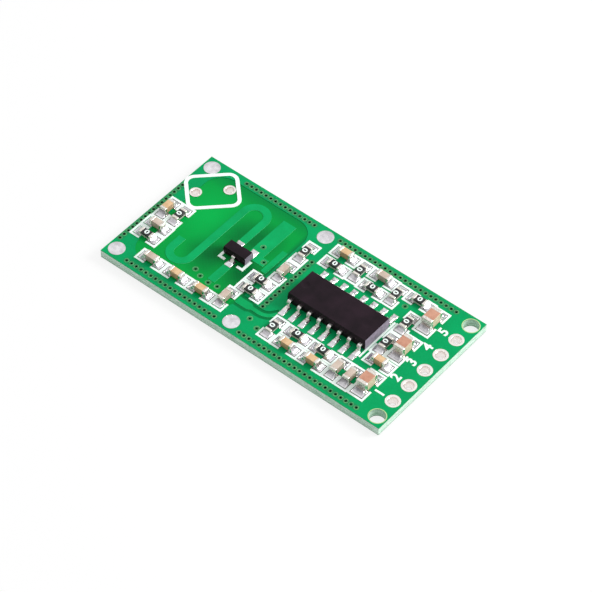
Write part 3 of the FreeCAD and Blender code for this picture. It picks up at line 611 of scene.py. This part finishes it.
# Small parts: where each one lies, from its CAD box


def in_window(x, y):
    """Whether a place lies in the window of the ground copper."""
    return abs(x - WINDOW[0]) < WINDOW[2] and abs(y - WINDOW[1]) < WINDOW[3]


def lie_of(node, turned=None):
    """Middle of a small part, and its turn: 90 where it lies along Y."""
    low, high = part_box(node)
    x, y = (low[0] + high[0]) / 2 / MM, (low[1] + high[1]) / 2 / MM
    if turned is None:
        turned = high[1] - low[1] > high[0] - low[0]
    return x, y, 90 if turned else 0


# half, wide and tall are half the length, half the width and the height of a part. A band is the
# length of its end cap. A pad is its start, its end and half its width, from the part's middle.
KINDS = {
    "resistor": {
        "half": 0.8, "wide": 0.4, "tall": 0.5, "band": 0.32, "skin": 0.012, "edge": 0.065,
        "pad": (0.45, 1.4, 0.525), "rise": 0.36, "turned": None, "slot": "resistor_coat",
        "chips": [("resistor_chips", "resistor_coat", range(1, 16))],
    },
    "capacitor": {
        "half": 0.8, "wide": 0.4, "tall": 0.8, "band": 0.32, "skin": 0.03, "edge": 0.065,
        "pad": (0.45, 1.4, 0.525), "rise": 0.46, "turned": None, "slot": "capacitor_ceramic",
        "chips": [
            ("tan_capacitor_chips", "tan", (1, 4, 5, 8, 10, 11, 12)),
            ("pale_capacitor_chips", "pale", (2, 3, 6, 7, 9, 13, 14)),
        ],
    },
    "large_capacitor": {
        "half": 1.0, "wide": 0.625, "tall": 1.25, "band": 0.45, "skin": 0.03, "edge": 0.1,
        "pad": (0.55, 1.68, 0.7), "rise": 0.6, "turned": True, "slot": "large_capacitor_ceramic",
        "chips": [("large_capacitor_chips", "brown", range(1, 4))],
    },
}


def chips(kind, form, lies):
    """The ceramic blocks of a kind, between their end caps, in a piece for each colour."""
    skin = form["skin"]
    end = form["half"] - form["band"] * 0.7
    side = form["wide"] - skin
    core = rounded_block((-end, -side, SEAT + skin), (end, side, SEAT + form["tall"] - skin), 0.03)
    for name, material, numbers in form["chips"]:
        pile = Pile()
        for number in numbers:
            pile.add(core, turned_to(*lies[number]))
        pile.make(name, [material], [f"{kind}_{number}" for number in numbers])


def mask_opening(pad, base):
    """The gap in the solder mask round a pad, as a thin plate whose dark colour is painted shade."""
    start, end, half = pad
    low = (start - 0.07, -half - 0.065, base - 0.004)
    high = (end + 0.065, half + 0.065, base + 0.006)
    return rounded_block(low, high, 0.002, 1)


def soldered_ends(kind, form, lies, joints, openings):
    """End caps at both ends of every part of a kind, with their solder and the gaps round their pads."""
    half, wide, band, pad = form["half"], form["wide"], form["band"], form["pad"]
    cap = rounded_block((half - band, -wide, SEAT), (half, wide, SEAT + form["tall"]), form["edge"])
    foot = (half - band * 1.5, half, wide)
    caps = Pile()
    for x, y, angle in lies.values():
        base = TOP - COPPER_STEP if in_window(x, y) else TOP
        for turn in (0, 180):
            place = turned_to(x, y, angle + turn)
            rise = form["rise"] * random.uniform(0.85, 1.1)
            reach = (pad[1] - half) * random.uniform(0.85, 1.0)
            wobble = random.uniform(-0.12, 0.12)
            caps.add(cap, place)
            joints.add(solder_on(pad, foot, reach, pad[2] - wide + 0.02, rise, rise * 0.45, wobble), place)
            openings.add(mask_opening(pad, base), place)
    caps.make(kind + "_terminations", ["end_cap"], [kind + "_end_caps"])


random.seed(7)
joints = Pile()
openings = Pile()
for kind, form in KINDS.items():
    numbers = sorted(number for name, material, group in form["chips"] for number in group)
    lies = {number: lie_of(f"{kind}_{number}", form["turned"]) for number in numbers}
    chips(kind, form, lies)
    soldered_ends(kind, form, lies, joints, openings)
openings.make("mask_openings", ["laminate"], weighted=False)


# Control chip and transistor


def moulded(size, standoff, band, draft, radius):
    """A moulded package: a band where the leads come out, and drafted halves over and under it."""
    length, width, height = size
    rise = (height - band) / 2
    inset = rise * math.tan(math.radians(draft))
    foot = SEAT + standoff
    levels = [(foot, inset), (foot + rise, 0.0), (foot + rise + band, 0.0), (foot + height, inset)]
    corners = ((-1, -1), (1, -1), (1, 1), (-1, 1))
    bm = bmesh.new()
    rings = []
    for z, shift in levels:
        hx, hy = length / 2 - shift, width / 2 - shift
        rings.append([bm.verts.new((sx * hx, sy * hy, z)) for sx, sy in corners])
    bm.faces.new(rings[0][::-1])
    bm.faces.new(rings[-1])
    for lower, upper in zip(rings, rings[1:]):
        for k in range(4):
            m = (k + 1) % 4
            bm.faces.new([lower[k], lower[m], upper[m], upper[k]])
    sharp = [e for e in bm.edges if e.calc_face_angle(0) > math.radians(40)]
    bmesh.ops.bevel(bm, geom=sharp, offset=radius, segments=3, profile=0.5, affect="EDGES")
    return read_out(bm)


def press_dimple(piece, x, y, z, radius, depth):
    """Presses a shallow round dimple into a piece's top, which is at z."""
    clear, steps = 0.3, 10
    ball = (radius * radius + depth * depth) / (2 * depth)
    widest = math.asin(radius * 1.02 / ball)
    angles = [widest * (1 - k / steps) for k in range(steps)]
    rim = [(ball * math.sin(a), z - depth + ball * (1 - math.cos(a))) for a in angles]
    profile = [(0.0, z + clear), (rim[0][0], z + clear), *rim, (0.0, z - depth)]
    points, faces = lathe(profile[::-1], DIMPLE_SIDES)
    mesh = bpy.data.meshes.new("dimple")
    mesh.from_pydata([Vector((x + p[0], y + p[1], p[2])) * MM for p in points], [], faces)
    cutter = bpy.data.objects.new("dimple", mesh)
    bpy.context.scene.collection.objects.link(cutter)
    modifier = piece.modifiers.new("dimple", "BOOLEAN")
    modifier.object = cutter
    modifier.operation = "DIFFERENCE"
    modifier.solver = "EXACT"
    graph = bpy.context.evaluated_depsgraph_get()
    pressed = bpy.data.meshes.new_from_object(piece.evaluated_get(graph))
    piece.modifiers.clear()
    piece.data = pressed
    bpy.data.objects.remove(cutter)


def chip_case():
    """The control chip's moulding, with a dimple at each end of its top."""
    pile = Pile()
    pile.add(moulded(IC_SIZE, IC_STANDOFF, 0.2, 7, 0.07), turned_to(*IC))
    case = pile.make("control_chip_case", ["moulding"], ["ic_body"], weighted=False)
    top = SEAT + IC_STANDOFF + IC_SIZE[2]
    press_dimple(case, IC[0] - 4.2, IC[1], top, 0.45, 0.08)
    press_dimple(case, IC[0] + 3.7, IC[1], top, 0.55, 0.03)
    weigh_normals(case)


def transistor_case():
    pile = Pile()
    pile.add(moulded(TRANSISTOR_SIZE, TRANSISTOR_STANDOFF, 0.12, 8, 0.06), turned_to(*TRANSISTOR))
    pile.make("transistor_case", ["moulding"], ["transistor_body"])


# A place is a lead's direction and how far it sits along the package. The solder starts at the heel.
PACKAGES = [
    {
        "name": "control_chip_leads", "node": "ic_leads", "at": IC, "wide": 0.41, "thick": 0.2,
        "path": wing_path(1.6, 2.17, IC_STANDOFF + IC_SIZE[2] / 2, 0.2, 3.0, 0.2),
        "pad": (2.3, 3.72, 0.31), "rise": 0.2, "heel": 2.5,
        "places": [(90 * side, (k - 3.5) * IC_LEAD_PITCH) for side in (1, -1) for k in range(8)],
    },
    {
        "name": "transistor_wires", "node": "transistor_leads", "at": TRANSISTOR, "wide": 0.42,
        "thick": 0.12, "pad": (0.75, 1.75, 0.4), "rise": 0.14, "heel": 0.9,
        "path": wing_path(0.55, 0.73, TRANSISTOR_STANDOFF + TRANSISTOR_SIZE[2] / 2, 0.12, 1.22, 0.12),
        "places": [(90, -0.95), (90, 0.95), (-90, 0.0)],
    },
]


def soldered_leads(package, joints):
    """The gull-wing leads of a package, with bare copper at each tip, and their solder."""
    points, faces = strip_along(package["path"], package["wide"], package["thick"])
    pad, half = package["pad"], package["wide"] / 2
    reach = package["path"][-1][0]
    foot = (package["heel"], reach, half)
    x, y = package["at"]
    leads = Pile()
    for angle, along in package["places"]:
        place = turned_to(x + along, y, angle - 90, SEAT)
        leads.add((points, faces[:-1]), place)
        leads.add((points, faces[-1:]), place, 1)
        rise = package["rise"] * random.uniform(0.85, 1.05)
        wobble = random.uniform(-0.1, 0.1)
        solder = solder_on(pad, foot, pad[1] - reach, pad[2] - half + 0.03, rise, rise * 0.8, wobble)
        joints.add(solder, turned_to(x + along, y, angle))
    leads.make(package["name"], ["lead", "copper"], [package["node"]])


chip_case()
transistor_case()
for package in PACKAGES:
    soldered_leads(package, joints)
joints.make("solder_fillets", ["solder"], ["solder_joints"], sharp=60, weighted=False)


# Plated holes, solder-filled pads and vias


def plated_rims(name, node, hole, barrel, rim, places):
    """Plated holes: flush underneath, with a rim on top that swells between its edges."""
    crown = 0.02
    profile = [
        (hole + 0.02, 0.0),
        (barrel, 0.0),
        (barrel, TOP - 0.01),
        (rim, TOP - 0.01),
        (rim, SEAT - crown * 0.8),
        (rim - 0.03, SEAT - crown * 0.3),
        (rim - 0.1, SEAT),
        ((rim + hole) / 2, SEAT),
        (hole + 0.06, SEAT - crown * 0.2),
        (hole + 0.015, SEAT - crown),
        (hole, SEAT - crown * 2.4),
        (hole, 0.03),
    ]
    pile = Pile()
    for x, y in places:
        pile.add(lathe(profile, ROUND_SIDES), turned_to(x, y))
    pile.make(name, ["tin"], [node], sharp=50)


def solder_domes():
    """The solder-filled pads, each domed a little differently."""
    neck, radius, steps = 0.88, 0.9, 8
    pile = Pile()
    for x, y in DISCS:
        profile = [(0.0, 0.0), (neck, 0.0), (neck, TOP - 0.01), (radius, TOP - 0.01), (radius, TOP + 0.02)]
        for k in range(1, steps):
            r = radius * (1 - k / steps)
            profile.append((r, TOP + 0.03 + 0.1 * (1 - (r / radius) ** 2) * random.uniform(0.9, 1.0)))
        profile.append((0.0, TOP + 0.125))
        pile.add(lathe(profile, ROUND_SIDES), turned_to(x, y))
    pile.make("solder_domes", ["solder"], ["tinned_discs"], sharp=50)


def add_via(pile, x, y, rim, throat):
    """A via's barrel and masked rim, with a throat in painted shade."""
    bore, barrel = 0.12, 0.13
    top = TOP - COPPER_STEP if in_window(x, y) and (x, y) not in STRIP_VIAS else TOP
    outside = [(bore, 0.01), (barrel, 0.01), (barrel, top - 0.01), (rim, top - 0.01), (rim, top + 0.004)]
    outside.append((rim - 0.02, top + 0.01))
    inside = [(throat + 0.02, top + 0.012), (throat, top + 0.004), (bore, top - 0.02)]
    points, faces = lathe(outside + inside, VIA_SIDES)
    split = len(outside) * VIA_SIDES
    pile.add((points, faces[:split]), turned_to(x, y))
    # The throat's faces take the near-black material, which is painted shade.
    pile.add((points, faces[split:]), turned_to(x, y), 1)


def via_barrels():
    """The single vias, and the smaller ones of the rows."""
    pile = Pile()
    for x, y in SINGLE_VIAS:
        add_via(pile, x, y, 0.33, 0.2)
    for first_x, first_y, step_x, step_y, count in VIA_ROWS:
        for k in range(count):
            add_via(pile, first_x + step_x * k * VIA_PITCH, first_y + step_y * k * VIA_PITCH, 0.28, 0.17)
    pile.make("via_barrels", ["via", "throat"], sharp=50)


cell_steps = [side * CELL_HALF * math.sqrt(0.5) for side in (-1, 1)]
cell_places = [(CELL[0] + step, CELL[1] + step) for step in cell_steps]
plated_rims("header_rims", "header_hole_plating", 0.5, 0.78, 0.8, [(HEADER_X, y) for y in HEADER_YS])
plated_rims("light_cell_rims", "photocell_hole_plating", 0.43, 0.64, 0.66, cell_places)
solder_domes()
via_barrels()


# Print: plain digits for the header holes and the resistors


def digit(text, size, place, thick):
    """One digit as a thin mesh, with its middle at the place."""
    curve = bpy.data.curves.new("digit", "FONT")
    curve.body = text
    curve.size = size
    curve.align_x = "CENTER"
    curve.align_y = "CENTER"
    curve.offset = 0.03 * size
    curve.extrude = thick / 2
    curve.resolution_u = 3
    holder = bpy.data.objects.new("digit", curve)
    bpy.context.scene.collection.objects.link(holder)
    bpy.context.view_layer.update()
    mesh = bpy.data.meshes.new_from_object(holder.evaluated_get(bpy.context.evaluated_depsgraph_get()))
    shape = ([place @ v.co for v in mesh.vertices], [list(p.vertices) for p in mesh.polygons])
    bpy.data.objects.remove(holder)
    bpy.data.meshes.remove(mesh)
    return shape


def header_digits():
    """A number beside each header hole."""
    x, size, thick = 15.3, 1.5, 0.024
    pile = Pile()
    for number, y in enumerate(HEADER_YS, 1):
        pile.add(digit(str(number), size, turned_to(x, y, 90, TOP + thick / 2), thick))
    pile.make("header_digits", ["print"], sharp=30, weighted=False)


def resistor_marks():
    """A wide 0 on each resistor, just over its glaze."""
    size, thick, level = 0.76, 0.012, SEAT + 0.49
    wider = Matrix.Diagonal((1.35, 1.0, 1.0, 1.0))
    pile = Pile()
    for number in range(1, 16):
        x, y, angle = lie_of(f"resistor_{number}")
        pile.add(digit("0", size, turned_to(x, y, angle, level) @ wider, thick))
    pile.make("resistor_marks", ["print"], sharp=30, weighted=False)


header_digits()
resistor_marks()

# CAD nodes that keep their shape

KEPT = {
    "solder_mask": ["circuit_board"],
    "print": ["silkscreen_top"],
    "tin": ["component_pads", "option_pads"],
    "masked_copper": [f"{name}_trace" for name in ("antenna", "stub", "emitter", "bias", "output")],
}
for material, nodes in KEPT.items():
    for node in nodes:
        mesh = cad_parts[node].data
        mesh.materials.clear()
        mesh.materials.append(MATERIALS[material])


# Floor, light and camera


def plain_floor():
    """A pale floor that shows white to the camera, with the object's shadow on it."""
    bpy.ops.mesh.primitive_plane_add(size=4.0, location=(0, 0, -0.0001))
    floor = bpy.context.object
    floor.name = "floor"
    material = bpy.data.materials.new("pale_floor")
    material.use_nodes = True
    nodes = Nodes(material.node_tree)
    nodes.tree.nodes.clear()
    matte = nodes.add("ShaderNodeBsdfDiffuse", (0.9, 0.9, 0.9, 1)).outputs[0]
    glow = nodes.add("ShaderNodeEmission", None, 1.0).outputs[0]
    ray = nodes.add("ShaderNodeLightPath").outputs
    seen = nodes.math("MAXIMUM", ray["Is Camera Ray"], ray["Is Glossy Ray"])
    blend = nodes.add("ShaderNodeMixShader", nodes.math("MULTIPLY", seen, 0.8), matte, glow).outputs[0]
    nodes.add("ShaderNodeOutputMaterial", blend)
    floor.data.materials.append(material)


# Direction, where the glow starts and is full as a cosine, and its least and most
SOFT_BOXES = [
    ((0, 0, 1), 0.0, 1.0, 0.17, 0.4),
    ((-0.41, 0.52, 0.75), 0.55, 0.9, 0.0, 0.62),
    ((0.93, 0.25, 0.27), 0.6, 0.92, 0.0, 0.75),
    ((0.41, -0.52, 0.75), 0.6, 0.95, 0.0, 0.35),
]


def soft_world():
    """A pale studio of soft boxes, brightest behind and to the right, and white to the camera."""
    world = bpy.data.worlds.new("studio")
    bpy.context.scene.world = world
    world.use_nodes = True
    nodes = Nodes(world.node_tree)
    where = nodes.add("ShaderNodeTexCoord").outputs["Generated"]
    total = 0.0
    for direction, low, high, least, most in SOFT_BOXES:
        facing = nodes.add("ShaderNodeVectorMath", where, direction, operation="DOT_PRODUCT")
        glow = nodes.add("ShaderNodeMapRange", facing.outputs["Value"], low, high, least, most).outputs[0]
        total = nodes.math("ADD", total, glow)
    seen = nodes.add("ShaderNodeLightPath").outputs["Is Camera Ray"]
    back = nodes.tree.nodes["Background"]
    nodes.feed(back.inputs["Color"], (1, 1, 1, 1))
    nodes.feed(back.inputs["Strength"], nodes.add("ShaderNodeMix", seen, None, total, 1.0).outputs[0])


def soft_lamp(name, place, size, power):
    """A square area lamp that looks at the board."""
    data = bpy.data.lights.new(name, "AREA")
    data.size = size * MM
    data.energy = power
    lamp = bpy.data.objects.new(name, data)
    bpy.context.scene.collection.objects.link(lamp)
    lamp.location = Vector(place) * MM
    lamp.rotation_mode = "QUATERNION"
    lamp.rotation_quaternion = (-lamp.location).to_track_quat("-Z", "Y")


def photo_camera():
    """The camera at the photograph's viewing angle. The picture is 592 pixels wide."""
    azimuth, elevation, roll = (math.radians(v) for v in (38.4005, 48.6741, 1.3504))
    focal_pixels, picture_pixels, sensor = 2769.14, 592, 36
    aim = Vector((0, -0.12, TOP))
    distance, left, down = 277.58, -0.5095, 0.8542
    level = math.cos(elevation)
    back = Vector((math.sin(azimuth) * level, -math.cos(azimuth) * level, math.sin(elevation)))
    right = Vector((math.cos(azimuth), math.sin(azimuth), 0))
    up = back.cross(right)
    right_rolled = right * math.cos(roll) + up * math.sin(roll)
    up_rolled = up * math.cos(roll) - right * math.sin(roll)
    data = bpy.data.cameras.new("camera")
    data.sensor_width = sensor
    data.lens = focal_pixels / picture_pixels * sensor
    data.clip_start = 0.01
    data.clip_end = 10
    camera = bpy.data.objects.new("camera", data)
    bpy.context.scene.collection.objects.link(camera)
    place = aim + back * distance - right_rolled * left - up_rolled * down
    turn = Matrix((right_rolled, up_rolled, back)).transposed().to_4x4()
    camera.matrix_world = Matrix.Translation(place * MM) @ turn
    bpy.context.scene.camera = camera


plain_floor()
soft_world()
soft_lamp("key", (190, 190, 190), 130, 0.8)
soft_lamp("fill", (-200, -180, 200), 220, 0.05)
photo_camera()
bpy.context.scene.view_settings.view_transform = "Standard"
